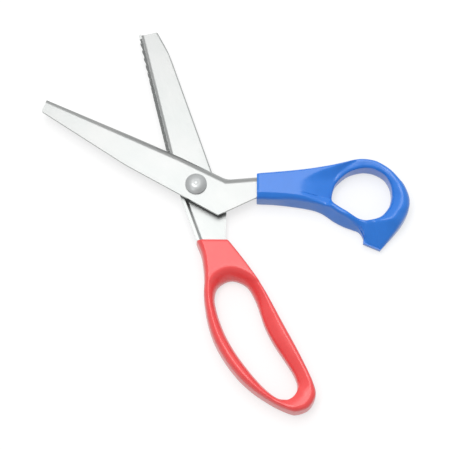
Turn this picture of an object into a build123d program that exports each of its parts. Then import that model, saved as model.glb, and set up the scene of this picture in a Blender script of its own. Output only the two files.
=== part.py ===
"""Pinking shears: two pressed steel blades with meshing teeth, moulded handles and a pivot screw.

Millimetres. The origin lies on the pivot's axis, on the flat underside of the lock nut, on which the
shears rest together with their two handles. +Z runs up the pivot and +Y halves the angle between the
open blades, towards their tips.

Each half is drawn in its own half plane: x from the pivot to the tip, along the line on which both tips
meet when the shears are closed, y across the blade towards its spine, and z from the meshing teeth
outwards. The lower half plane is the upper one rolled over, so both outlines are drawn alike.
"""

import os
from math import atan, atan2, cos, degrees, radians, sin

from build123d import *

os.makedirs("parts", exist_ok=True)

# ---- Driving dimensions --------------------------------------------------------------------------

rest_opening = 39.0        # angle between the two halves as they lie, from closed

# blades
blade_reach = 99.8         # pivot axis to blade tip
sheet = 1.8                # thickness of the steel
blade_gap = 3.2            # between the two sheets
tip_edge = 0.8             # cutting edge at the tip, short of the closed centre line
heel_edge = 9.8            # cutting edge beside the pivot, short of the closed centre line
heel_edge_at = 16.0        # distance of that place from the pivot
upper_spine = (9.1, 10.6, 7.9)     # spine at heel, widest place and tip, beyond the closed line
upper_taper = 59.8         # length over which the upper blade narrows to its tip
lower_spine = (11.0, 12.7, 10.6)   # the lower blade is wider
lower_taper = 16.8         # and narrows only near its tip
tip_slant = 1.4            # the tip's spine corner lies this much nearer to the pivot
heel_at = 20.0             # heel corner, behind the pivot
bend_radius = 2.4          # outside of the folded edge
edge_lean = 1.6            # how far the folded edge leans out at the tip
upper_root = (-13.0, -11.8)   # bend in the cut side of the upper tang
lower_root = (-8.0, -10.4)    # and of the lower one

# rounding of a blade's outline, seen from above
tip_round = 1.6
heel_edge_round = 30.0
root_round = 10.0
tang_round = 2.0
tang_back_round = 4.0
heel_round = 1.0
spine_round = 80.0
spine_tip_round = 1.2

# teeth
tooth_pitch = 4.8
tooth_depth = 2.4
tooth_start = 20.0         # radius of the first tooth
mesh_clearance = 0.3       # between meshing teeth, measured along the pivot

# pivot
shank_diameter = 6.0
journal_clearance = 0.04   # radial, screw in bush
key_shoulder = 1.0         # the screw's key in the upper blade stands this far out of its shank
key_flat_step = 0.3        # and this far at its two flats
key_clearance = 0.05
head_diameter = 12.0
head_height = 3.0
head_rim = 0.9             # straight side of the head, below its dome
bush_wall = 1.3
bush_flange = 0.5          # thickness of the bush's flange
bush_flange_diameter = 13.0
slip_thickness = 0.4
slip_diameter = 14.0
spacer_diameter = 15.0
ring_clearance = 0.1       # radial, rings on the screw
spring_height = 0.6
spring_thickness = 0.4
spring_diameter = 11.6
washer_thickness = 0.5
washer_diameter = 12.0
nut_flats = 10.0
nut_height = 2.0
nut_floor = 0.5            # closed underside of the nut
nut_chamfer = 0.3
spring_play = 0.05         # between the spring washer and the lower blade

# handles
handle_round = 2.4         # rounding of the handles' outer rims
hole_round = 1.6           # rounding of the rims of their holes
thumb_length = 85.8        # collar to far end
thumb_cant = 31.0          # turn of the thumb handle from the blade's centre line
thumb_collar = (-29.8, -16.5)
thumb_tang = 31.0          # length of steel inside the handle
upper_sides = (6.3, -6.3)  # the tang's two sides at the collar
upper_end = (4.2, -4.2)    # and at its end
finger_length = 96.3
finger_cant = 20.0
finger_collar = (-34.4, -3.1)
finger_tang = 16.0
lower_sides = (7.2, -7.8)
lower_end = (1.0, -8.0)
anchor_hole = 4.6          # holes in the tangs
upper_anchor_inset = 8.0   # from the end of the tang
lower_anchor_inset = 7.0
anchor_spacing = 12.0      # between the two holes in the upper tang
flange_in_collar = 1.5     # folded edge runs this far into the handle

# ---- Heights and half planes ---------------------------------------------------------------------

washer_base = nut_height
spring_base = washer_base + washer_thickness
lower_sheet = spring_base + spring_height
mesh_height = lower_sheet + sheet + blade_gap / 2
inner_face = blade_gap / 2             # sheet's inner face, from the mesh, in a half plane
outer_face = inner_face + sheet
upper_sheet = mesh_height + inner_face
handle_thickness = 2 * mesh_height     # both handles stand on the same table as the nut


def tip_direction(turn):
    """Direction of a half's centre line, turned from +Y about the pivot."""
    return (-sin(radians(turn)), cos(radians(turn)), 0)


pivot_centre = (0, 0, mesh_height)
upper_half = Plane(pivot_centre, x_dir=tip_direction(rest_opening / 2), z_dir=(0, 0, 1))
lower_half = Plane(pivot_centre, x_dir=tip_direction(-rest_opening / 2), z_dir=(0, 0, -1))


def handle_plane(half, collar, cant):
    """Plane in a handle: x from the centre of its collar along the handle, y across it."""
    return Plane(half.location * Location((*collar, 0), (0, 0, 180 + cant)))


thumb_plane = handle_plane(upper_half, thumb_collar, thumb_cant)
finger_plane = handle_plane(lower_half, finger_collar, finger_cant)


# ---- Blades --------------------------------------------------------------------------------------

key_diameter = shank_diameter + 2 * key_shoulder
key_flats = shank_diameter + 2 * key_flat_step
edge_slope = (heel_edge - tip_edge) / (blade_reach - heel_edge_at)
tooth_count = int((blade_reach - tooth_start) / tooth_pitch)
crest = tooth_depth / 2
wide = 3 * blade_reach                 # reach of cutting tools beyond any piece
overshoot = 1.0                        # cutting tools pass a face by this much
shortest_fold = 2.5                    # edges along the fold are longer, corner arcs shorter
fold_margin = 0.5                      # the fold lies this much beyond the tip's cutting edge


def in_half(half, handle, along, across):
    """A point of a handle plane, in the coordinates of its half plane."""
    place = half.to_local_coords(handle.from_local_coords(Vector(along, across)))
    return (place.X, place.Y)


def blade_outline(half, handle, root, collar_sides, tang, end_sides, spine, taper):
    """Corners and corner radii of a blade with its tang; root is the bend in the tang's cut side."""
    cut_side, spine_side = collar_sides
    heel_spine, widest_spine, tip_spine = spine
    neck = in_half(half, handle, flange_in_collar, cut_side)
    ends = [in_half(half, handle, tang, side) for side in end_sides]
    back = in_half(half, handle, 0, spine_side)
    corners = [
        (blade_reach, -tip_edge),
        (heel_edge_at, -heel_edge),
        root,
        neck,
        *ends,
        back,
        (-heel_at, heel_spine),
        (blade_reach - taper, widest_spine),
        (blade_reach - tip_slant, tip_spine),
    ]
    radii = [
        tip_round,
        heel_edge_round,
        root_round,
        tang_round,
        *(tang_round for end in ends),
        tang_back_round,
        heel_round,
        spine_round,
        spine_tip_round,
    ]
    return corners, radii


def fold_pocket(half, handle, root, cut_side):
    """Corners of the room inside the folded edge: all but a strip as wide as the sheet."""
    beyond = 2 * heel_at
    neck = in_half(half, handle, flange_in_collar, cut_side - sheet)
    neck_out = in_half(half, handle, flange_in_collar, cut_side + beyond)
    far = in_half(half, handle, wide, cut_side + beyond)
    return [
        (wide, -tip_edge + sheet + (wide - blade_reach) * edge_slope),
        (heel_edge_at, -heel_edge + sheet),
        (root[0], root[1] + sheet),
        neck,
        neck_out,
        far,
        (-wide, wide),
        (wide, wide),
    ]


def mesh_profile(side, teeth):
    """Corners, as radius and height, of the room on one side (+1 above, -1 below) of the mesh.

    The teeth are ridges on circles about the pivot, so they stay in mesh at every opening.
    """
    face = mesh_height - side * mesh_clearance / 2
    ridge = [(tooth_start, face)]
    for tooth in range(teeth):
        start = tooth_start + tooth * tooth_pitch
        ridge.append((start + tooth_pitch / 4, face + crest))
        ridge.append((start + 3 * tooth_pitch / 4, face - crest))
    end = tooth_start + teeth * tooth_pitch
    far = face + side * 2 * mesh_height
    outer = [(end, face), (wide, face)] if teeth else [(wide, face)]
    return [(0, face), *ridge, *outer, (wide, far), (0, far)]


def mesh_plane(half, start):
    """Upright plane through the pivot's axis, turned from a half's centre line by an angle."""
    turn = radians(start) + atan2(half.x_dir.Y, half.x_dir.X)
    return Plane((0, 0, 0), x_dir=(cos(turn), sin(turn), 0), z_dir=(sin(turn), -cos(turn), 0))


def lean_plane(half):
    """Plane across a blade just beyond its tip: x away from the spine, y outwards, z back along it.

    It is turned a little more than the cutting edge, so that the lean cut from it fades out.
    """
    turn = degrees(atan(edge_slope + edge_lean / blade_reach))
    edge_end = Location((blade_reach, -tip_edge, 0), (0, 0, turn))
    return Plane(half.location * edge_end * Location((sheet, 0, 0), (0, -90, -90)))


lean_run = edge_lean / (crest + outer_face)    # sideways for each millimetre of height
lean_wedge = [
    (lean_run * overshoot, -crest - overshoot),
    (-edge_lean - lean_run * overshoot, outer_face + overshoot),
    (wide, outer_face + overshoot),
    (wide, -crest - overshoot),
]


def sharp_at_fold_ends(radii):
    """Corner radii with the first and last corner of the cutting side, at tip and neck, left sharp.

    A fillet follows tangent edges, so the fold is rounded between two sharp corners.
    """
    tip, heel_edge_corner, root_corner, neck, *others = radii
    return [0, heel_edge_corner, root_corner, 0, *others]


def folded_edges(blade, half):
    """Edges of the outer face along the cutting side, from the tip to the collar."""
    chosen = ShapeList()
    for edge in blade.edges():
        place = half.to_local_coords(edge.center())
        on_face = abs(place.Z - outer_face) < mesh_clearance and edge.length > shortest_fold
        beside_cut = place.Y < -tip_edge - fold_margin and place.X > -heel_at
        if on_face and beside_cut:
            chosen.append(edge)
    return chosen


def pressed_blank(half, outline, pocket, side):
    """One blade with its fold, and teeth on this side of the pivot, before it is drilled.

    side is where the other blade's room is.
    """
    corners, radii = outline
    with BuildPart() as blank:
        with BuildSketch(half.offset(-crest)):
            with BuildLine():
                FilletPolyline(*corners, radius=sharp_at_fold_ends(radii), close=True)
            make_face()
        extrude(amount=crest + outer_face)
        fillet(folded_edges(blank, half), bend_radius)
        with BuildSketch(half.offset(-crest)):
            with BuildLine():
                FilletPolyline(*corners, radius=radii, close=True)
            make_face()
        extrude(amount=crest + outer_face, mode=Mode.INTERSECT)
        with BuildSketch(half.offset(-2 * crest)):
            with BuildLine():
                Polyline(*pocket, close=True)
            make_face()
        extrude(amount=2 * crest + inner_face, mode=Mode.SUBTRACT)
        with BuildSketch(lean_plane(half)):
            with BuildLine():
                Polyline(*lean_wedge, close=True)
            make_face()
        extrude(amount=blade_reach, mode=Mode.SUBTRACT)
        for start, teeth in ((-90, tooth_count), (90, 0)):
            with BuildSketch(mesh_plane(half, start)):
                with BuildLine():
                    Polyline(*mesh_profile(side, teeth), close=True)
                make_face()
            revolve(axis=Axis.Z, revolution_arc=180, mode=Mode.SUBTRACT)
    return blank.part


upper_blank = pressed_blank(
    upper_half,
    blade_outline(
        upper_half,
        thumb_plane,
        upper_root,
        upper_sides,
        thumb_tang,
        upper_end,
        upper_spine,
        upper_taper,
    ),
    fold_pocket(upper_half, thumb_plane, upper_root, upper_sides[0]),
    side=-1,
)
lower_blank = pressed_blank(
    lower_half,
    blade_outline(
        lower_half,
        finger_plane,
        lower_root,
        lower_sides,
        finger_tang,
        lower_end,
        lower_spine,
        lower_taper,
    ),
    fold_pocket(lower_half, finger_plane, lower_root, lower_sides[0]),
    side=1,
)

upper_anchor = thumb_tang - upper_anchor_inset

with BuildPart() as upper_blade:
    add(upper_blank)
    with BuildSketch(thumb_plane):
        with Locations((upper_anchor, 0), (upper_anchor - anchor_spacing, 0)):
            Circle(anchor_hole / 2)
    extrude(amount=outer_face + crest, mode=Mode.SUBTRACT)
    with BuildSketch(upper_half):
        Circle(key_diameter / 2 + key_clearance)
        Rectangle(2 * key_diameter, key_flats + 2 * key_clearance, mode=Mode.INTERSECT)
    extrude(amount=outer_face + crest, mode=Mode.SUBTRACT)

lower_anchor = (finger_tang - lower_anchor_inset, (lower_end[0] + lower_end[1]) / 2)

with BuildPart() as lower_blade:
    add(lower_blank)
    with BuildSketch(finger_plane):
        with Locations(lower_anchor):
            Circle(anchor_hole / 2)
    extrude(amount=outer_face + crest, mode=Mode.SUBTRACT)
    with BuildSketch(lower_half):
        Circle(shank_diameter / 2 + journal_clearance + bush_wall)
    extrude(amount=outer_face + crest, mode=Mode.SUBTRACT)


# ---- Pivot ---------------------------------------------------------------------------------------

def turned(*corners):
    """Piece turned about the pivot from a closed profile of radius and height."""
    with BuildPart() as piece:
        with BuildSketch(Plane.XZ):
            with BuildLine():
                Polyline(*corners, close=True)
            make_face()
        revolve(axis=Axis.Z)
    return piece


def ring(inner, outer, base, top):
    """Plain ring on the pivot."""
    return turned((inner, base), (outer, base), (outer, top), (inner, top))


shank = shank_diameter / 2
ring_bore = shank + ring_clearance
journal_bore = shank + journal_clearance
bush_top = lower_sheet + sheet + bush_flange
slip_top = bush_top + slip_thickness
head_base = upper_sheet + sheet
shank_end = nut_floor + ring_clearance
head_edge = head_diameter / 2
crown = (0, head_base + head_height)
rim = (head_edge, head_base + head_rim)

pivot_bush = turned(
    (journal_bore, lower_sheet),
    (journal_bore + bush_wall, lower_sheet),
    (journal_bore + bush_wall, lower_sheet + sheet),
    (bush_flange_diameter / 2, lower_sheet + sheet),
    (bush_flange_diameter / 2, bush_top),
    (journal_bore, bush_top),
)
slip_washer = ring(ring_bore, slip_diameter / 2, bush_top, slip_top)
blade_spacer = ring(ring_bore, spacer_diameter / 2, slip_top, upper_sheet)
flat_washer = ring(ring_bore, washer_diameter / 2, washer_base, spring_base)
spring_washer = turned(
    (ring_bore, spring_base),
    (ring_bore, spring_base + spring_thickness),
    (spring_diameter / 2, lower_sheet - spring_play),
    (spring_diameter / 2, lower_sheet - spring_play - spring_thickness),
)

with BuildPart() as pivot_screw:
    with BuildSketch(Plane.XY.offset(shank_end)):
        Circle(shank)
    extrude(amount=head_base - shank_end)
    chamfer(pivot_screw.edges().group_by(Axis.Z)[0], nut_chamfer)
    with BuildSketch(upper_half.offset(inner_face)):
        Circle(key_diameter / 2)
        Rectangle(2 * key_diameter, key_flats, mode=Mode.INTERSECT)
    extrude(amount=sheet)
    with BuildSketch(Plane.XZ):
        with BuildLine():
            Polyline(crown, (0, head_base), (head_edge, head_base), rim)
            TangentArc(crown, rim, tangent=(1, 0))
        make_face()
    revolve(axis=Axis.Z)

with BuildPart() as lock_nut:
    with BuildSketch():
        RegularPolygon(nut_flats / 2, 6, major_radius=False)
    extrude(amount=nut_height)
    chamfer(lock_nut.faces().sort_by(Axis.Z)[0].edges(), nut_chamfer)
    with BuildSketch(Plane.XY.offset(nut_floor)):
        Circle(shank + journal_clearance)
    extrude(amount=nut_height, mode=Mode.SUBTRACT)


# ---- Handles -------------------------------------------------------------------------------------

def spread(length, stations):
    """Points of an outline, from stations given as shares of the handle's length and widths."""
    return [(share * length, across) for share, across in stations]


# stations: share of the handle's length from its collar, distance across from its middle line
thumb_back = [
    (0, 7.6),
    (0.18, 9.0),
    (0.36, 10.9),
    (0.57, 14.6),
    (0.70, 16.6),
    (0.80, 14.7),
    (0.89, 9.2),
    (0.965, 1.6),
    (1, -8.0),
    (0.97, -17.2),
    (0.89, -26.8),
    (0.80, -35.7),
]
thumb_front = [
    (0.69, -31.7),
    (0.692, -29.0),
    (0.665, -24.8),
    (0.62, -23.0),
    (0.505, -18.4),
    (0.415, -13.1),
    (0.31, -10.6),
    (0.117, -8.4),
    (0, -8.0),
]
thumb_hole = [
    (0.492, -4.6),
    (0.549, 5.6),
    (0.726, 11.0),
    (0.846, 5.8),
    (0.879, -3.8),
    (0.84, -13.8),
    (0.744, -19.4),
    (0.633, -17.6),
    (0.56, -13.4),
    (0.49, -8.4),
]
finger_back = [
    (0, 8.6),
    (0.06, 6.2),
    (0.13, 4.8),
    (0.21, 4.1),
    (0.30, 4.2),
    (0.44, 2.6),
    (0.58, -1.3),
    (0.71, -8.2),
    (0.82, -16.7),
    (0.91, -27.3),
    (0.975, -38.2),
    (1, -46.5),
    (0.98, -52.2),
    (0.94, -55.6),
    (0.89, -57.0),
    (0.83, -55.6),
    (0.72, -51.0),
    (0.58, -44.3),
    (0.44, -37.2),
    (0.30, -30.2),
    (0.14, -20.1),
    (0, -9.8),
]
finger_hole = [
    (0.221, -13.5),
    (0.233, -7.3),
    (0.28, -2.9),
    (0.335, -2.0),
    (0.45, -4.2),
    (0.56, -8.3),
    (0.70, -16.4),
    (0.845, -27.8),
    (0.91, -35.4),
    (0.925, -41.6),
    (0.89, -45.8),
    (0.835, -46.9),
    (0.77, -44.8),
    (0.63, -36.3),
    (0.49, -29.3),
    (0.36, -25.2),
    (0.27, -20.9),
    (0.234, -17.4),
]


def hole_rims(handle):
    """Edges of the hole in the two flat faces of a handle."""
    flats = handle.faces().sort_by(Axis.Z)
    return flats[0].inner_wires().edges() + flats[-1].inner_wires().edges()


def outer_rims(handle):
    """Edges round the outside of the two flat faces of a handle."""
    flats = handle.faces().sort_by(Axis.Z)
    return flats[0].outer_wire().edges() + flats[-1].outer_wire().edges()


with BuildPart() as thumb_handle:
    with BuildSketch(thumb_plane.offset(-handle_thickness / 2)):
        with BuildLine():
            Spline(*spread(thumb_length, thumb_back))
            Line(*spread(thumb_length, [thumb_back[-1], thumb_front[0]]))
            Spline(*spread(thumb_length, thumb_front))
            Line((0, thumb_front[-1][1]), (0, thumb_back[0][1]))
        make_face()
        with BuildLine():
            Spline(*spread(thumb_length, thumb_hole), periodic=True)
        make_face(mode=Mode.SUBTRACT)
    extrude(amount=handle_thickness)
    fillet(hole_rims(thumb_handle), hole_round)
    fillet(outer_rims(thumb_handle), handle_round)
    add(upper_blade.part, mode=Mode.SUBTRACT)

with BuildPart() as finger_handle:
    with BuildSketch(finger_plane.offset(-handle_thickness / 2)):
        with BuildLine():
            Spline(*spread(finger_length, finger_back))
            Line((0, finger_back[-1][1]), (0, finger_back[0][1]))
        make_face()
        with BuildLine():
            Spline(*spread(finger_length, finger_hole), periodic=True)
        make_face(mode=Mode.SUBTRACT)
    extrude(amount=handle_thickness)
    fillet(outer_rims(finger_handle), handle_round)
    fillet(hole_rims(finger_handle), hole_round)
    add(lower_blade.part, mode=Mode.SUBTRACT)


# ---- Files ---------------------------------------------------------------------------------------

upper_blade.part.label = "upper_blade"
lower_blade.part.label = "lower_blade"
pivot_bush.part.label = "pivot_bush"
slip_washer.part.label = "slip_washer"
blade_spacer.part.label = "blade_spacer"
pivot_screw.part.label = "pivot_screw"
spring_washer.part.label = "spring_washer"
flat_washer.part.label = "flat_washer"
lock_nut.part.label = "lock_nut"
thumb_handle.part.label = "thumb_handle"
finger_handle.part.label = "finger_handle"

pieces = [
    upper_blade,
    lower_blade,
    pivot_bush,
    slip_washer,
    blade_spacer,
    pivot_screw,
    spring_washer,
    flat_washer,
    lock_nut,
    thumb_handle,
    finger_handle,
]
for piece in pieces:
    export_step(piece.part, f"parts/{piece.part.label}.step")
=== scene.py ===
"""Pinking shears, laid open on a pale table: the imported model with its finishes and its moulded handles.

Metres, in the model's own frame: the origin under the pivot on the table, +Z up the pivot.
"""

from math import cos, pi, radians, sin

import bpy
import numpy as np
from mathutils import Matrix, Vector


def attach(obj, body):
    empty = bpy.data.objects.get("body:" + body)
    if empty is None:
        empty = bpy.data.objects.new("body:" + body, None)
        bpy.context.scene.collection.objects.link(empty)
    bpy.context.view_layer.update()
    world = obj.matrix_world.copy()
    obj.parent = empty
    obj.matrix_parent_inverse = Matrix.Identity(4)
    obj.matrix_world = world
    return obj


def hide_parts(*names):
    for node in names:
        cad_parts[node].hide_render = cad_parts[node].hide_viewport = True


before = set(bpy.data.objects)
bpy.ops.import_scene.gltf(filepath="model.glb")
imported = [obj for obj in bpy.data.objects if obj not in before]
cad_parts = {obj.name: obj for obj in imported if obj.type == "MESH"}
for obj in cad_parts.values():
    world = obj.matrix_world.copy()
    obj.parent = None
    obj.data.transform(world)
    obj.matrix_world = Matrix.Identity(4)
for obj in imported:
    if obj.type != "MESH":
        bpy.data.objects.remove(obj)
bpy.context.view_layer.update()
mm = 0.001

# ---- Table, light and camera ---------------------------------------------------------------------
# A white table top, a large soft lamp above and beyond the shears, a key lamp almost overhead, a
# small lamp in front at their left, and a pale room that is brighter on the far side.

bpy.ops.object.select_all(action="DESELECT")
scene = bpy.context.scene
scene.view_settings.view_transform = "Standard"

turn = radians(-39.2)          # the camera's turn from +Y
tilt = radians(19.0)           # from straight down
distance = 900 * mm
aim = Vector((-1.1, -27.0, 2.4)) * mm
ahead = Vector((-sin(turn) * sin(tilt), cos(turn) * sin(tilt), -cos(tilt)))  # its line of sight

camera = bpy.data.objects.new("camera", bpy.data.cameras.new("camera"))
scene.collection.objects.link(camera)
camera.data.lens = 128.6
camera.data.clip_start = 0.05
camera.location = aim - ahead * distance
camera.rotation_euler = (tilt, 0, turn)
scene.camera = camera


def lamp(name, towards, far, size, power):
    """Square soft lamp that stands in one direction from the shears and faces them."""
    data = bpy.data.lights.new(name, "AREA")
    data.size = size
    data.energy = power
    light = bpy.data.objects.new(name, data)
    light.location = towards.normalized() * far
    light.rotation_euler = towards.to_track_quat("Z", "Y").to_euler()
    scene.collection.objects.link(light)


up = Vector((0, 0, 1))
beyond = Vector((-sin(turn), cos(turn), 0))
right = Vector((cos(turn), sin(turn), 0))
lamp("soft_lamp", towards=Vector((ahead.x, ahead.y, -ahead.z)), far=0.85, size=0.56, power=1.9)
lamp("small_lamp", towards=up - 0.38 * beyond - 0.36 * right, far=0.9, size=0.22, power=0.45)
lamp("key_lamp", towards=up - 0.2 * right, far=1.2, size=0.45, power=2.8)


def node(tree, kind, **settings):
    """New shader node with its settings; a setting named after a socket goes to the socket."""
    made = tree.nodes.new(kind)
    for key, value in settings.items():
        if key in made.inputs:
            made.inputs[key].default_value = value
        else:
            setattr(made, key, value)
    return made


near_glow = 0.47               # the room's brightness on the near side
far_glow = 0.85                # and on the far side
glow_reach = 0.9               # how squarely a direction points to a side that shows it in full

room = bpy.data.worlds.new("room")
scene.world = room
room.use_nodes = True
tree = room.node_tree
glow = tree.nodes["Background"]
glow.inputs["Strength"].default_value = 1.0
place = node(tree, "ShaderNodeTexCoord")
side = node(tree, "ShaderNodeVectorMath", operation="DOT_PRODUCT")
side.inputs[1].default_value = beyond
shade = node(tree, "ShaderNodeMapRange")
shade.inputs["From Min"].default_value = -glow_reach
shade.inputs["From Max"].default_value = glow_reach
shade.inputs["To Min"].default_value = near_glow
shade.inputs["To Max"].default_value = far_glow
tree.links.new(place.outputs["Generated"], side.inputs[0])
tree.links.new(side.outputs["Value"], shade.inputs["Value"])
tree.links.new(shade.outputs["Result"], glow.inputs["Color"])

table_size = 6.0
table_grey = 0.38              # the top itself, which takes the shadows
table_lift = 0.65              # added to it where it is looked at, mirrored or seen through something

bpy.ops.mesh.primitive_plane_add(size=table_size)
table = bpy.context.object
table.name = "table"
top = bpy.data.materials.new("table_white")
top.use_nodes = True
tree = top.node_tree
matt = tree.nodes["Principled BSDF"]
matt.inputs["Base Color"].default_value = (table_grey, table_grey, table_grey, 1)
matt.inputs["Roughness"].default_value = 0.9
matt.inputs["Specular IOR Level"].default_value = 0.0
white = node(tree, "ShaderNodeEmission")
seen = node(tree, "ShaderNodeLightPath")
either = node(tree, "ShaderNodeMath", operation="MAXIMUM")
any_of = node(tree, "ShaderNodeMath", operation="MAXIMUM")
lift = node(tree, "ShaderNodeMath", operation="MULTIPLY")
lift.inputs[1].default_value = table_lift
blend = node(tree, "ShaderNodeAddShader")
tree.links.new(seen.outputs["Is Camera Ray"], either.inputs[0])
tree.links.new(seen.outputs["Is Glossy Ray"], either.inputs[1])
tree.links.new(either.outputs[0], any_of.inputs[0])
tree.links.new(seen.outputs["Is Transmission Ray"], any_of.inputs[1])
tree.links.new(any_of.outputs[0], lift.inputs[0])
tree.links.new(lift.outputs[0], white.inputs["Strength"])
tree.links.new(matt.outputs[0], blend.inputs[0])
tree.links.new(white.outputs[0], blend.inputs[1])
tree.links.new(blend.outputs[0], tree.nodes["Material Output"].inputs["Surface"])
table.data.materials.append(top)

# ---- Blades --------------------------------------------------------------------------------------
# Two blades pressed from stainless sheet. The cutting side of each is folded towards the other blade
# and ground to round teeth. The faces are satin, brushed along the blade, with fine scratches.


def finish_of(name, colour, metallic, roughness):
    """New material, its node tree, its shader with middle values, and its object coordinates."""
    material = bpy.data.materials.new(name)
    material.use_nodes = True
    tree = material.node_tree
    shader = tree.nodes["Principled BSDF"]
    shader.inputs["Base Color"].default_value = (*colour, 1)
    shader.inputs["Metallic"].default_value = metallic
    shader.inputs["Roughness"].default_value = roughness
    place = node(tree, "ShaderNodeTexCoord").outputs["Object"]
    return material, tree, shader, place


def vary(tree, noise, low, high, socket):
    """Noise from 0 to 1 spread between two values into a socket."""
    spread = node(tree, "ShaderNodeMapRange")
    spread.inputs["To Min"].default_value = low
    spread.inputs["To Max"].default_value = high
    tree.links.new(noise, spread.inputs["Value"])
    tree.links.new(spread.outputs["Result"], socket)


def tint(tree, noise, first, second, socket):
    """Noise from 0 to 1 between two colours into a socket."""
    ramp = node(tree, "ShaderNodeValToRGB")
    for element, position, colour in zip(ramp.color_ramp.elements, (0.3, 0.7), (first, second)):
        element.position = position
        element.color = (*colour, 1)
    tree.links.new(noise, ramp.inputs["Fac"])
    tree.links.new(ramp.outputs["Color"], socket)


def bumps(tree, shader, noise, strength, depth):
    """Small relief from a noise; the node, which can be laid over another relief."""
    bump = node(tree, "ShaderNodeBump", Strength=strength, Distance=depth)
    tree.links.new(noise, bump.inputs["Height"])
    tree.links.new(bump.outputs["Normal"], shader.inputs["Normal"])
    return bump


def inside(tree, place, turn, side, first, second):
    """Distance in metres from a line through two points of a blade, which are in mm.

    It counts from the line towards the spine where side is 1, and away from the spine where it is -1.
    """
    tip = Vector((-sin(turn), cos(turn), 0))
    spine = Vector((-cos(turn), -sin(turn), 0)) * (1 if turn > 0 else -1)
    run = Vector(second) - Vector(first)
    inwards = (spine * abs(run.x) + tip * run.y * (1 if run.x < 0 else -1)).normalized() * side
    start = (tip * first[0] + spine * first[1]) * mm
    along = node(tree, "ShaderNodeVectorMath", operation="DOT_PRODUCT")
    along.inputs[1].default_value = inwards
    tree.links.new(place, along.inputs[0])
    less = node(tree, "ShaderNodeMath", operation="SUBTRACT")
    less.inputs[1].default_value = inwards.dot(start)
    tree.links.new(along.outputs["Value"], less.inputs[0])
    return less.outputs[0]


def combined(tree, operation, first, second):
    """Two values in one Math node."""
    both = node(tree, "ShaderNodeMath", operation=operation)
    tree.links.new(first, both.inputs[0])
    tree.links.new(second, both.inputs[1])
    return both.outputs[0]


def slope_between(tree, distance, near, far, rise):
    """Height that goes softly from rise at one distance to nothing at a larger one."""
    ramp = node(tree, "ShaderNodeMapRange", interpolation_type="SMOOTHSTEP")
    ramp.inputs["From Min"].default_value = near * mm
    ramp.inputs["From Max"].default_value = far * mm
    ramp.inputs["To Min"].default_value = rise * mm
    ramp.inputs["To Max"].default_value = 0
    tree.links.new(distance, ramp.inputs["Value"])
    return ramp.outputs["Result"]


def brushed_steel(name, turn, cut_line, spine_line, fold, chamfer):
    """Satin stainless, brushed along the blade, with its bent cut side and a broken spine edge."""
    material, tree, shader, place = finish_of(name, (0.395, 0.40, 0.395), 1.0, 0.34)
    turned = node(tree, "ShaderNodeMapping")
    turned.inputs["Rotation"].default_value = (0, 0, -turn)
    turned.inputs["Scale"].default_value = (9000, 130, 3000)  # long streaks, fine across the blade
    tree.links.new(place, turned.inputs["Vector"])
    grain = node(tree, "ShaderNodeTexNoise", Scale=1.0, Detail=3.0)
    tree.links.new(turned.outputs[0], grain.inputs["Vector"])
    clouds = node(tree, "ShaderNodeTexNoise", Scale=45.0, Detail=3.0)
    tree.links.new(place, clouds.inputs["Vector"])
    tint(tree, clouds.outputs["Fac"], (0.38, 0.395, 0.39), (0.41, 0.415, 0.41),
         shader.inputs["Base Color"])
    vary(tree, grain.outputs["Fac"], 0.27, 0.44, shader.inputs["Roughness"])
    brushed = bumps(tree, shader, grain.outputs["Fac"], 0.10, 0.02 * mm)

    blade, heel, tang = (inside(tree, place, turn, 1, *ends) for ends in zip(cut_line, cut_line[1:]))
    # The upper blade has an inner corner where its tang begins, and the lower blade has an outer one.
    corner = "MAXIMUM" if turn > 0 else "MINIMUM"
    from_cut = combined(tree, corner, combined(tree, "MINIMUM", blade, heel), tang)
    front, rear = (inside(tree, place, turn, -1, *ends) for ends in zip(spine_line, spine_line[1:]))
    from_spine = combined(tree, "MINIMUM", front, rear)
    height = combined(tree, "ADD", slope_between(tree, from_cut, *fold),
                      slope_between(tree, from_spine, *chamfer))
    bend = node(tree, "ShaderNodeBump", Strength=1.0, Distance=1.0)
    tree.links.new(height, bend.inputs["Height"])
    tree.links.new(bend.outputs["Normal"], brushed.inputs["Normal"])
    return material


half_angle = radians(19.5)     # each blade's turn from +Y, one to each side

# Lines of the blades in mm, each point along its blade from the pivot and across it towards the spine:
# the cutting side from the tip back to the collar, and the spine from the tip back past the pivot.
upper_cut = ((99.8, -0.8), (16.0, -9.8), (-13.0, -11.8), (-27.9, -22.7))
lower_cut = ((99.8, -0.8), (16.0, -9.8), (-8.0, -10.4), (-33.4, -10.4))
upper_spine = ((98.4, 7.9), (40.0, 10.6), (-20.0, 9.1))
lower_spine = ((98.4, 10.6), (83.0, 12.7), (-20.0, 11.0))

# The relief along a line has its third value, in mm, up to the first distance in from the line, and is
# gone at the second.
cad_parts["upper_blade"].material_slots[0].material = brushed_steel(
    "upper_steel", half_angle, upper_cut, upper_spine,
    fold=(0.1, 3.5, -0.88), chamfer=(0.0, 0.1, -0.03))
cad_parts["lower_blade"].material_slots[0].material = brushed_steel(
    "lower_steel", -half_angle, lower_cut, lower_spine,
    fold=(1.6, 3.7, 0.56), chamfer=(-0.2, 0.9, -0.22))

# ---- Pivot screw ---------------------------------------------------------------------------------
# The screw's domed head is turned on a lathe, which leaves fine rings on it. It is keyed in the
# upper blade and its end sits in the lock nut.

wave_rate = 20                 # radians to one unit of a wave texture


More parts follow.
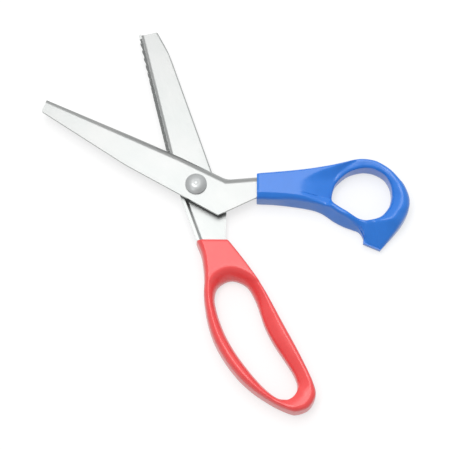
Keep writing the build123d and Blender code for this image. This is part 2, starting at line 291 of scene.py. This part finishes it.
def turned_metal(name, colour, roughness, step):
    """Metal with faint rings about the pivot, as a lathe leaves them; one ring is 2 pi steps wide."""
    material, tree, shader, place = finish_of(name, colour, 1.0, roughness)
    rings = node(tree, "ShaderNodeTexWave", wave_type="RINGS", rings_direction="Z")
    rings.inputs["Scale"].default_value = 1 / (step * wave_rate)
    rings.inputs["Distortion"].default_value = 1.2
    rings.inputs["Detail"].default_value = 2.0
    tree.links.new(place, rings.inputs["Vector"])
    vary(tree, rings.outputs["Fac"], roughness * 0.8, roughness * 1.3, shader.inputs["Roughness"])
    bumps(tree, shader, rings.outputs["Fac"], 0.12, 0.02 * mm)
    return material


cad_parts["pivot_screw"].material_slots[0].material = turned_metal(
    "turned_steel", (0.53, 0.545, 0.545), 0.48, 0.35 * mm)

# ---- Pivot bush and slip washer ------------------------------------------------------------------
# The bush is sintered bronze, pressed into the lower blade, and the screw turns in it. The slip washer
# that lies on the bush's flange is nylon.

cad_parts["pivot_bush"].material_slots[0].material = turned_metal(
    "bronze", (0.56, 0.36, 0.16), 0.38, 0.30 * mm)

nylon, tree, shader, place = finish_of("nylon", (0.72, 0.70, 0.64), 0.0, 0.45)
specks = node(tree, "ShaderNodeTexNoise", Scale=900.0, Detail=2.0)
tree.links.new(place, specks.inputs["Vector"])
tint(tree, specks.outputs["Fac"], (0.66, 0.64, 0.58), (0.76, 0.74, 0.68), shader.inputs["Base Color"])
vary(tree, specks.outputs["Fac"], 0.40, 0.55, shader.inputs["Roughness"])
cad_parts["slip_washer"].material_slots[0].material = nylon

# ---- Spacer, washers and lock nut ----------------------------------------------------------------
# Steel rings that hold the blades at their distance: the spacer and the dished spring washer are
# plain steel, the flat washer and the closed nut are zinc plated.

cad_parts["blade_spacer"].material_slots[0].material = turned_metal(
    "spacer_steel", (0.42, 0.43, 0.43), 0.36, 0.25 * mm)
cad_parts["spring_washer"].material_slots[0].material = turned_metal(
    "spring_steel", (0.30, 0.31, 0.33), 0.34, 0.25 * mm)

zinc, tree, shader, place = finish_of("zinc_plate", (0.55, 0.57, 0.60), 1.0, 0.30)
spangle = node(tree, "ShaderNodeTexNoise", Scale=1400.0, Detail=4.0)
tree.links.new(place, spangle.inputs["Vector"])
tint(tree, spangle.outputs["Fac"], (0.50, 0.52, 0.56), (0.60, 0.60, 0.58), shader.inputs["Base Color"])
vary(tree, spangle.outputs["Fac"], 0.24, 0.42, shader.inputs["Roughness"])
bumps(tree, shader, spangle.outputs["Fac"], 0.10, 0.02 * mm)
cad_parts["flat_washer"].material_slots[0].material = zinc
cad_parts["lock_nut"].material_slots[0].material = zinc

# ---- Thumb handle --------------------------------------------------------------------------------
# The blue handle is moulded from glossy plastic round the upper tang: a flat collar, a dished
# thumb rest that runs into the hole, a raised rim round it and a hooked end.

# A handle is drawn as a strip that runs from one corner of its collar round the far end to the
# other corner. Each station has a point on the outline and one inside: first on the middle line of
# the collar, then on the edge of the hole, then on the middle line again.
COLUMNS = 8                    # columns of faces between two stations
ROWS = 24                      # rows of faces from the outline inwards
crowding = 0.5                 # how much closer than even the rows lie at both edges
top_level = 12.98              # of the flat top above the table; all sizes of a handle are in mm
low_level = 0.02               # and of the underside
rim_round = 1.4                # radius of a face's edge at the outline and at the hole
end_round = 0.5                # and at the collar's end
rounding = 0.3                 # width of the rounding on edges that are still sharp
sharp = radians(32)            # an edge is sharp when its faces turn by more than this
narrow_shoulder = 6.0          # a shoulder up to this width follows the outline
broad_shoulder = 10.0          # and one from this width on falls straight across the strip
lip_width = 4.0                # of the stretch beside the bevel where a sunken lip comes back up
deepest = 8.5                  # a face is never carved further than this
easing = 8                     # times that the depths are evened out along the strip

# At a station: how far the top's edge stands in from the outline; the width, the drop and the power
# of the shoulder along it; the width, the depth and the power of the bevel round the hole; and the
# width over which the bevel fades in beside the shoulder.
blue = {
    "collar back": (0.2, 1.4, 0.6, 1.3, 19.0, 4.5, 1.4, 9.0),
    "rest back": (0.2, 1.4, 0.6, 1.4, 17.4, 4.3, 1.4, 8.0),
    "rest side": (0.2, 1.4, 0.6, 1.5, 12.8, 3.7, 1.4, 5.0),
    "limb begins": (0.2, 1.6, 0.6, 1.6, 8.4, 2.7, 1.2, 2.0),
    "top limb": (0.2, 2.0, 0.8, 2.0, 5.6, 1.9, 1.3, 0.4),
    "top end": (0.2, 2.4, 0.9, 2.2, 5.0, 1.4, 1.5, 0.2),
    "end begins": (0.2, 2.8, 1.2, 2.2, 4.8, 1.8, 1.6, 0.2),
    "end upper": (0.3, 4.2, 2.0, 2.2, 5.6, 2.8, 1.8, 0.2),
    "end limb": (0.3, 5.0, 3.0, 2.2, 6.6, 3.8, 1.8, 0.2),
    "end low": (0.3, 6.0, 3.8, 1.7, 6.4, 3.4, 1.8, 0.2),
    "hook begins": (0.3, 10.0, 6.0, 1.2, 4.4, 2.2, 1.5, 0.2),
    "hook": (0.3, 14.0, 8.5, 1.0, 2.6, 1.0, 1.6, 0.2),
    "notch": (0.6, 11.8, 7.2, 1.0, 2.2, 0.8, 1.8, 0.2),
    "notch top": (1.2, 8.6, 5.0, 1.1, 1.8, 0.6, 1.8, 0.2),
    "notch end": (2.0, 6.4, 3.0, 1.4, 1.8, 0.6, 1.8, 0.2),
    "low limb": (2.8, 4.8, 1.5, 1.8, 1.8, 0.6, 2.0, 0.2),
    "hole finish": (2.2, 4.6, 2.0, 1.5, 9.0, 3.0, 1.1, 5.0),
    "rest front": (1.4, 4.2, 2.2, 1.3, 19.0, 4.5, 1.4, 7.0),
    "collar front": (0.5, 3.9, 2.4, 1.2, 19.0, 4.5, 1.4, 7.0),
}
# The underside is plain, so it has only two kinds of station.
under_collar = (0.1, 2.4, 0.8, 2.0, 1.8, 0.0, 1.0, 0.2)
under_limb = (0.1, 2.4, 0.8, 2.0, 2.2, 0.8, 2.0, 0.2)

# Lines of the thumb handle in mm: each point along it from the end of its collar, and across it.
thumb_outside = [
    [(0, 7.6), (10, 8.5), (20, 9.5), (30, 10.8), (40.1, 12.6), (44.5, 13.5), (48.9, 14.6), (55, 16.1),
     (60.1, 16.6), (65, 16), (68.6, 14.7), (73.1, 12), (76.4, 9.2), (80.1, 5.3), (82.8, 1.6),
     (85.1, -3.5), (85.8, -8), (85.1, -12.7), (83.2, -17.2), (80.4, -21.8), (76.4, -26.8), (68.6, -35.7)],
    [(68.6, -35.7), (63.9, -33.7), (59.2, -31.7)],
    [(59.2, -31.7), (59.4, -29), (57.1, -24.8), (53.2, -23), (48.5, -21.2), (43.3, -18.4),
     (39.5, -15.6), (35.6, -13.1), (30, -11.2), (20, -9.5), (10, -8.4), (0, -8)],
]
thumb_middle = [(0, -0.2), (10.5, -1.9), (21, -3.6), (31.5, -5.3), (41.9, -7)]
thumb_hole = [
    (41.9, -7), (42.9, -1.1), (45, 3.2), (51.5, 8.8), (58.7, 11), (63.4, 10.9), (66.7, 10),
    (70, 8.2), (72.6, 5.8), (74.6, 1.9), (75.3, -1.6), (75.4, -4.9), (74.8, -8.1), (73.9, -10.8),
    (72.5, -13.2), (70.3, -15.8), (67.9, -17.8), (65, -19.1), (62.5, -19.6), (60.5, -19.5),
    (59, -19.3), (56.6, -18.6), (53.6, -17.2), (50, -14.7), (45.9, -12.2), (43.1, -10.2), (41.9, -7),
]
thumb_sections = [
    "collar back", "collar back", "collar back", "collar back", "collar back",
    "rest back", "rest side", "limb begins", "top limb", "top end", "top end", "end begins",
    "end begins", "end upper", "end upper", "end limb", "end limb", "end limb", "end low", "end low",
    "hook begins", "hook", "hook", "hook", "notch", "notch top", "notch end", "low limb", "low limb",
    "low limb", "hole finish", "rest front", "rest front", "collar front", "collar front",
]


def through(points, closed=False):
    """Smooth line through points or rows of values, in equal steps from each to the next."""
    points = [np.array(point, dtype=float) for point in points]
    before = points[-2] if closed else 2 * points[0] - points[1]
    after = points[1] if closed else 2 * points[-1] - points[-2]
    line = []
    known = [before, *points, after]
    for a, b, c, d in zip(known, known[1:], known[2:], known[3:]):
        for step in range(COLUMNS):
            t = step / COLUMNS
            bend = (2 * a - 5 * b + 4 * c - d) * t**2 + (3 * b - a - 3 * c + d) * t**3
            line.append(b + ((c - a) * t + bend) / 2)
    return line + [points[-1]]


def joined(*lines):
    """Lines end to end, each next one without its first point."""
    return lines[0] + [point for line in lines[1:] for point in line[1:]]


def away(points, line):
    """Distance of each point from a line of short straight stretches."""
    start = line[:-1]
    run = np.diff(line, axis=0)
    from_start = points[:, None] - start
    share = np.clip((from_start * run).sum(axis=2) / (run * run).sum(axis=1), 0, 1)
    return np.linalg.norm(from_start - share[..., None] * run, axis=2).min(axis=1)


def quarter(distance, radius):
    """How far a quarter-round rim lies below its face, at a distance from its edge."""
    return radius - np.sqrt(radius**2 - np.clip(radius - distance, 0, radius) ** 2)


def carved(points, along, edge, rim, rows, lip):
    """How far a face is carved at each point, from its distances to the outline and the hole."""
    inset, shoulder, drop, fall, bevel, depth, power, fade = np.array(rows).T
    from_edge = away(points, np.array(edge))
    from_hole = away(points, np.array(rim))
    planar = np.clip((shoulder - narrow_shoulder) / (broad_shoulder - narrow_shoulder), 0, 1)
    from_side = from_edge + (along - from_edge) * planar
    outer = drop * np.clip((shoulder - from_side) / (shoulder - inset), 0, 1) ** fall
    beside = np.clip(1 - from_edge / fade, 0, 1)
    inner = depth * np.clip(1 - from_hole / bevel - beside**2, 0, 1) ** power
    past_bevel = np.clip(from_hole - bevel, 0, lip_width)
    untouched = outer < 0.01   # the shoulder doesn't reach here
    sunk = lip * (1 - past_bevel / lip_width) ** 2 * untouched
    rims = quarter(from_edge - inset, rim_round) + quarter(from_hole, rim_round)
    return np.clip(outer + inner + sunk + rims, 0, deepest)


def eased(depth, row, column, first, last):
    """Depths evened out along the strip between two columns, so that one station runs into the next."""
    strip = np.zeros((row.max() + 1, column.max() + 1))
    strip[row, column] = depth
    ring = strip[:, first:last + 1]
    for _ in range(easing):
        ring[:, 1:-1] = (ring[:, :-2] + 2 * ring[:, 1:-1] + ring[:, 2:]) / 4
    return strip[row, column]


def moulded(name, outside, middle, hole, kinds, under_kinds, table, lip, place):
    """A closed handle: a strip laid between outline and hole, thickened, carved and rounded."""
    outline = joined(*(through(stretch) for stretch in outside))
    rim = through(hole, closed=True)
    inside = joined(through(middle), rim, through(middle[::-1]))
    columns = len(outline) - 1
    start = len(middle) - 1
    finish = len(kinds) - len(middle)

    # A flat grid has a column for each step along the outline and its rows run inwards.
    bpy.ops.object.select_all(action="DESELECT")
    bpy.ops.mesh.primitive_grid_add(x_subdivisions=columns, y_subdivisions=ROWS, size=2)
    handle = bpy.context.object
    handle.name = name
    flat = np.array([vertex.co for vertex in handle.data.vertices])
    column = np.rint((flat[:, 0] + 1) / 2 * columns).astype(int)
    row = np.rint((flat[:, 1] + 1) / 2 * ROWS).astype(int)
    even = row / ROWS
    share = even - crowding * np.sin(2 * pi * even) / (2 * pi)
    across = (np.array(inside) - np.array(outline))[column]
    width = np.linalg.norm(across, axis=1)

    # Every point has a place on the underside and one on the top, kept until that face is there.
    for layer, level, down, names in (
            ("under", low_level, 1, under_kinds), ("upper", top_level, -1, kinds)):
        known = [table[kind] for kind in names]
        stretches = known[:start + 1], known[start:finish + 1], known[finish:]
        rows = np.array(joined(*(through(stretch) for stretch in stretches)))[column]
        shift = (1 - share) * rows[:, 0] / width
        points = np.array(outline)[column] + across * (share + shift)[:, None]
        depth = carved(points, share * width, outline, rim, rows, lip if down < 0 else 0)
        depth = eased(depth, row, column, start * COLUMNS, finish * COLUMNS)
        depth += quarter(points[:, 0], end_round)
        placed = np.column_stack((points, level + down * depth)) * mm
        target = handle.data.attributes.new(layer, "FLOAT_VECTOR", "POINT")
        target.data.foreach_set("vector", placed.ravel())

    def settle(layer, members):
        """Points of the mesh moved to their places on one face."""
        for vertex in members:
            vertex.co = handle.data.attributes[layer].data[vertex.index].vector

    # The grid becomes the underside, closes along the collar's middle and is thickened to the top.
    settle("under", handle.data.vertices)
    bpy.ops.object.mode_set(mode="EDIT")
    bpy.ops.mesh.select_all(action="SELECT")
    bpy.ops.mesh.remove_doubles(threshold=0.001 * mm)
    clear = 1.0                # well above the underside, until the upper points settle
    bpy.ops.mesh.extrude_region_move(TRANSFORM_OT_translate={"value": (0, 0, clear)})
    bpy.ops.object.mode_set(mode="OBJECT")
    settle("upper", [vertex for vertex in handle.data.vertices if vertex.co.z > clear / 2])
    bpy.ops.object.mode_set(mode="EDIT")

    # What is still sharp is rounded, the handle goes to its place, and its faces are smoothed.
    bpy.ops.mesh.select_all(action="SELECT")
    bpy.ops.mesh.normals_make_consistent(inside=False)
    bpy.ops.mesh.select_all(action="DESELECT")
    bpy.ops.mesh.select_mode(type="EDGE")
    bpy.ops.mesh.edges_select_sharp(sharpness=sharp)
    bpy.ops.mesh.bevel(offset=rounding * mm, segments=3, profile=0.5, clamp_overlap=True)
    bpy.ops.object.mode_set(mode="OBJECT")
    handle.data.transform(place)
    if place.determinant() < 0:
        handle.data.flip_normals()
    smoother = handle.modifiers.new("smoother", "SUBSURF")
    smoother.levels = smoother.render_levels = 1
    bpy.ops.object.modifier_apply(modifier="smoother")
    bpy.ops.object.shade_smooth()
    return handle


def handle_place(x, y, heading, across):
    """From a handle's own middle line, which starts at its collar, to the shears."""
    return (Matrix.Translation(Vector((x, y, 0)) * mm) @ Matrix.Rotation(radians(heading), 4, "Z")
            @ Matrix.Diagonal((1, across, 1, 1)))


def glossy_plastic(name, colour, paler):
    """Moulded plastic: a faint mottle in its colour, fine ripples and a hard gloss."""
    material, tree, shader, place = finish_of(name, colour, 0.0, 0.24)
    mottle = node(tree, "ShaderNodeTexNoise", Scale=160.0, Detail=4.0)
    tree.links.new(place, mottle.inputs["Vector"])
    tint(tree, mottle.outputs["Fac"], colour, paler, shader.inputs["Base Color"])
    vary(tree, mottle.outputs["Fac"], 0.27, 0.38, shader.inputs["Roughness"])
    ripples = node(tree, "ShaderNodeTexNoise", Scale=420.0, Detail=2.0)
    tree.links.new(place, ripples.inputs["Vector"])
    bumps(tree, shader, ripples.outputs["Fac"], 0.04, 0.02 * mm)
    shader.inputs["IOR"].default_value = 1.52
    shader.inputs["Coat Weight"].default_value = 0.5
    shader.inputs["Coat Roughness"].default_value = 0.28
    return material


thumb_handle = moulded(
    "thumb_handle_moulding", thumb_outside, thumb_middle, thumb_hole, thumb_sections,
    ["under collar"] * 4 + ["under"] * 27 + ["under collar"] * 4,
    blue | {"under": under_limb, "under collar": under_collar}, lip=0,
    place=handle_place(x=25.50, y=-22.58, heading=-39.5, across=1))
thumb_handle.data.materials.append(glossy_plastic(
    "blue_plastic", (0.003, 0.172, 0.68), (0.006, 0.184, 0.72)))
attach(thumb_handle, "upper_half")
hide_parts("thumb_handle")

# ---- Finger handle -------------------------------------------------------------------------------
# The red handle is moulded the same way round the lower tang, with a long loop for the fingers. Its
# flat collar breaks in an arc into the wide bevel of the loop, whose two limbs are round.

red = {
    "collar left": (0.4, 2.8, 2.2, 1.2, 5.6, 7.0, 1.6, 0.2),
    "arc": (0.4, 2.6, 2.2, 1.4, 5.6, 7.0, 1.6, 0.2),
    "arc left": (0.4, 3.0, 2.2, 1.6, 5.2, 7.0, 1.6, 0.2),
    "left begins": (0.3, 3.6, 2.2, 1.8, 4.2, 5.6, 1.6, 0.2),
    "left limb": (0.3, 4.0, 2.4, 2.3, 4.0, 4.2, 2.2, 0.2),
    "end": (0.3, 3.4, 1.4, 2.0, 6.4, 2.2, 1.8, 0.2),
    "right limb": (0.3, 3.2, 1.2, 2.0, 8.4, 4.6, 1.8, 0.2),
    "right begins": (0.3, 2.6, 1.4, 2.0, 6.6, 6.4, 1.6, 0.2),
    "collar right": (0.2, 1.2, 0.8, 1.5, 5.6, 7.0, 1.6, 0.2),
}
# Lines of the finger handle, in the same way.
finger_outside = [
    [(0, 8.6), (6.8, 5.9), (13.4, 4.7), (20.2, 4.1), (24.5, 4.1), (28.9, 4.2), (34.5, 3.8),
     (42.4, 2.6), (49.1, 1), (55.8, -1.3), (62, -4.3), (68.4, -8.2), (74, -12.3), (79, -16.7),
     (84.1, -22.4), (87.6, -27.2), (91.5, -33.5), (93.9, -38.2), (95.8, -43), (96.3, -46.5),
     (94.4, -52.2), (90.5, -55.6), (85.7, -57), (79.9, -55.6), (74.5, -53.4), (69.3, -51),
     (62.5, -47.7), (55.9, -44.3), (49.1, -40.7), (42.4, -37.2), (35.5, -33.7), (28.9, -30.2),
     (24.5, -27.6), (22.5, -26.3), (20.5, -25), (13.5, -20.1), (6.8, -15.1), (0, -9.8)],
]
finger_middle = [(0, -0.6), (7.1, -4.4), (14.1, -8.2), (21.2, -12)]
finger_hole = [
    (21.2, -12), (22.4, -7.3), (26.2, -3.3), (33, -2), (41, -3.5), (47.2, -5.5), (53.5, -8.1),
    (59.5, -11.3), (65.3, -14.9), (70.9, -19), (75.4, -22.5), (79.5, -26), (83.1, -29.5),
    (86.1, -33), (88.2, -36.4), (89.2, -40), (88.9, -42.2), (87.5, -44.3), (85.7, -45.8),
    (83.5, -46.7), (80.4, -46.9), (77.3, -46.2), (73, -44.2), (66.3, -40), (60, -35.9),
    (53.6, -32.2), (47, -29.2), (40.5, -27.1), (33, -24.6), (26, -20.9), (22.8, -17.1), (21.2, -12),
]
finger_sections = [
    "collar left", "arc", "arc", "arc", "arc left", "left begins", *["left limb"] * 12,
    *["end"] * 5, *["right limb"] * 8, "right begins", "right begins", "collar right",
    "collar right", "collar right", "collar right", "collar right",
]
finger_handle = moulded(
    "finger_handle_moulding", finger_outside, finger_middle, finger_hole, finger_sections,
    ["under collar"] * 3 + ["under"] * 32 + ["under collar"] * 3,
    red | {"under": under_limb, "under collar": under_collar}, lip=0.1,
    place=handle_place(x=-14.40, y=-31.39, heading=-129.5, across=-1))
finger_handle.data.materials.append(glossy_plastic(
    "red_plastic", (0.84, 0.058, 0.060), (0.88, 0.070, 0.070)))
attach(finger_handle, "lower_half")
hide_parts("finger_handle")
